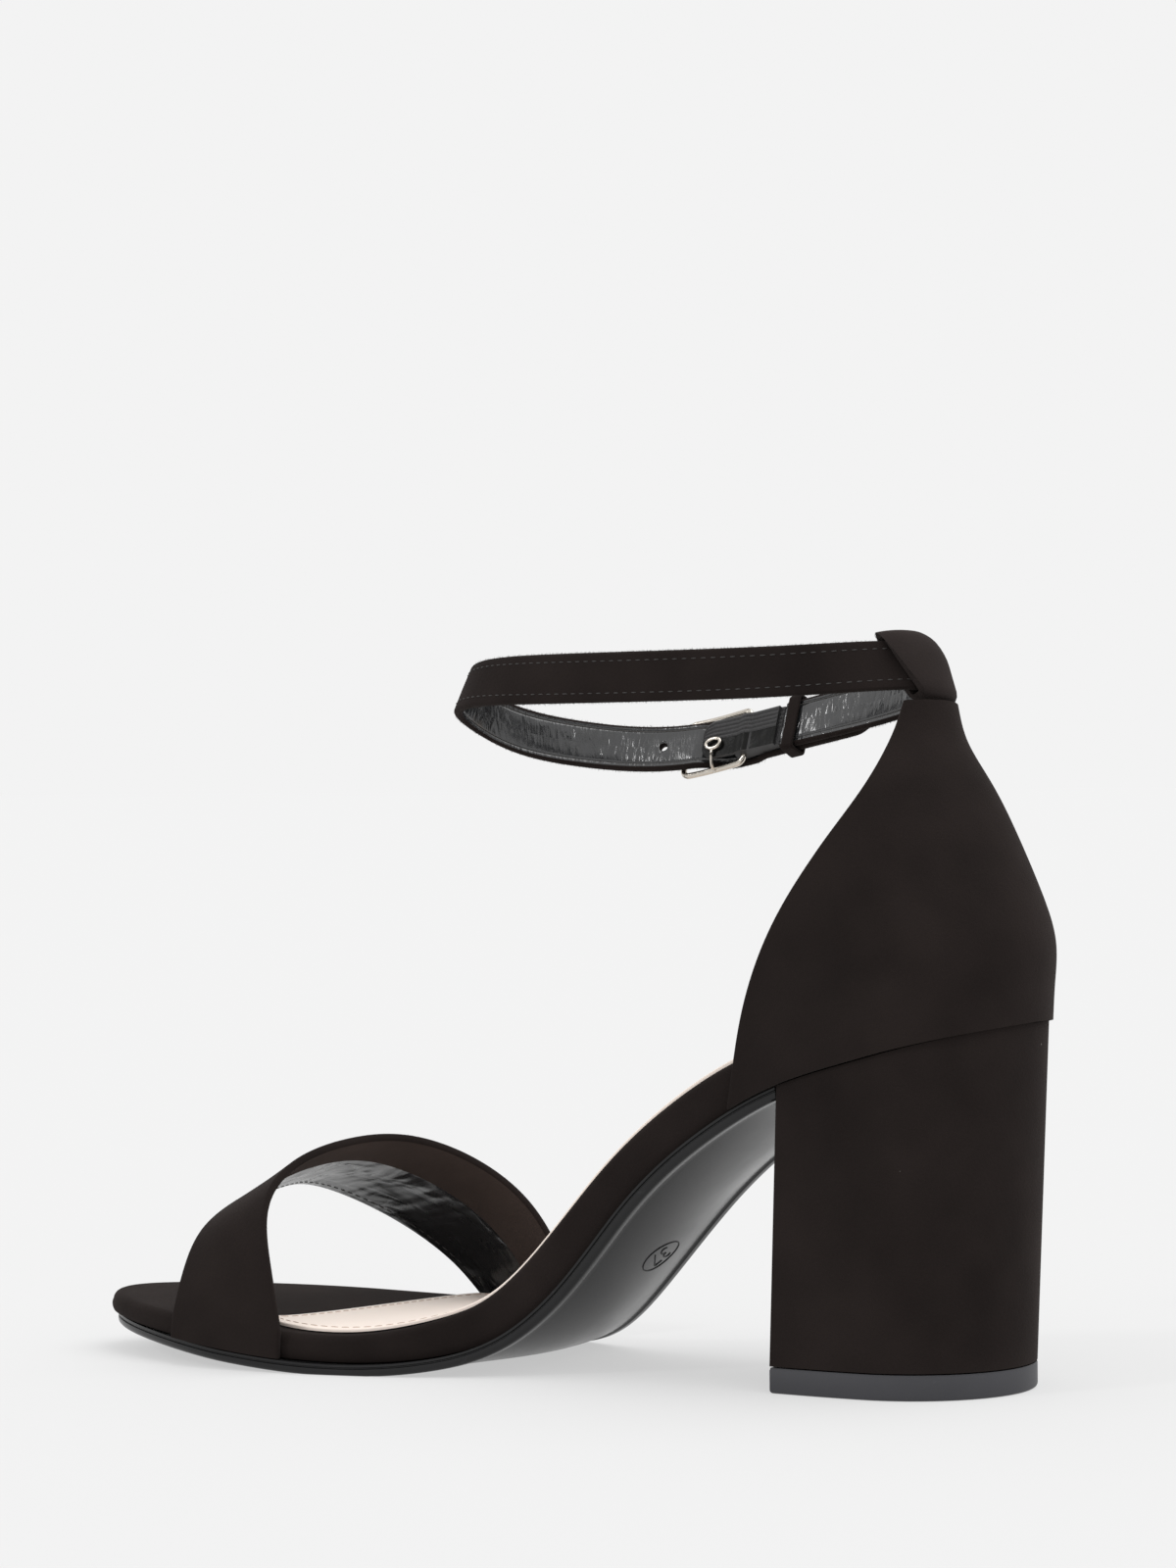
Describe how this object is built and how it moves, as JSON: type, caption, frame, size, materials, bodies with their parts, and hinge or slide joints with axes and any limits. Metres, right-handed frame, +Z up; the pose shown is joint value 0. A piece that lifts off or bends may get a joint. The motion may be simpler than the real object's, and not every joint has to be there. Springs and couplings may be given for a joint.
{
  "type": "block heel sandal",
  "caption": "Open right-foot sandal with a high covered block heel, a closed heel counter, one wide toe strap and a narrow buckled ankle strap.",
  "frame": {"origin": "on the heel's ground face, below the middle of the heel", "axes": "+X from the heel to the toe, +Y to the inner (medial) side of the foot, +Z up"},
  "size_m": [0.2275, 0.0842, 0.1628],
  "materials": {
    "black_suede": "matte napped faux suede",
    "nude_lining": "smooth synthetic sock lining",
    "black_rubber": "satin moulded rubber",
    "black_elastic": "ribbed woven elastic",
    "buckle_metal": "polished pale metal"
  },
  "bodies": {
    "root": {"outsole": "black_rubber", "footbed": "black_suede", "sock_lining": "nude_lining", "toe_strap": "black_suede", "counter": "black_suede", "heel_loop": "black_suede", "ankle_strap": "black_suede", "keeper": "black_suede", "buckle_tab": "black_elastic", "buckle_frame": "buckle_metal", "buckle_prong": "buckle_metal", "heel": "black_suede", "heel_lift": "black_rubber"}
  },
  "joints": []
}
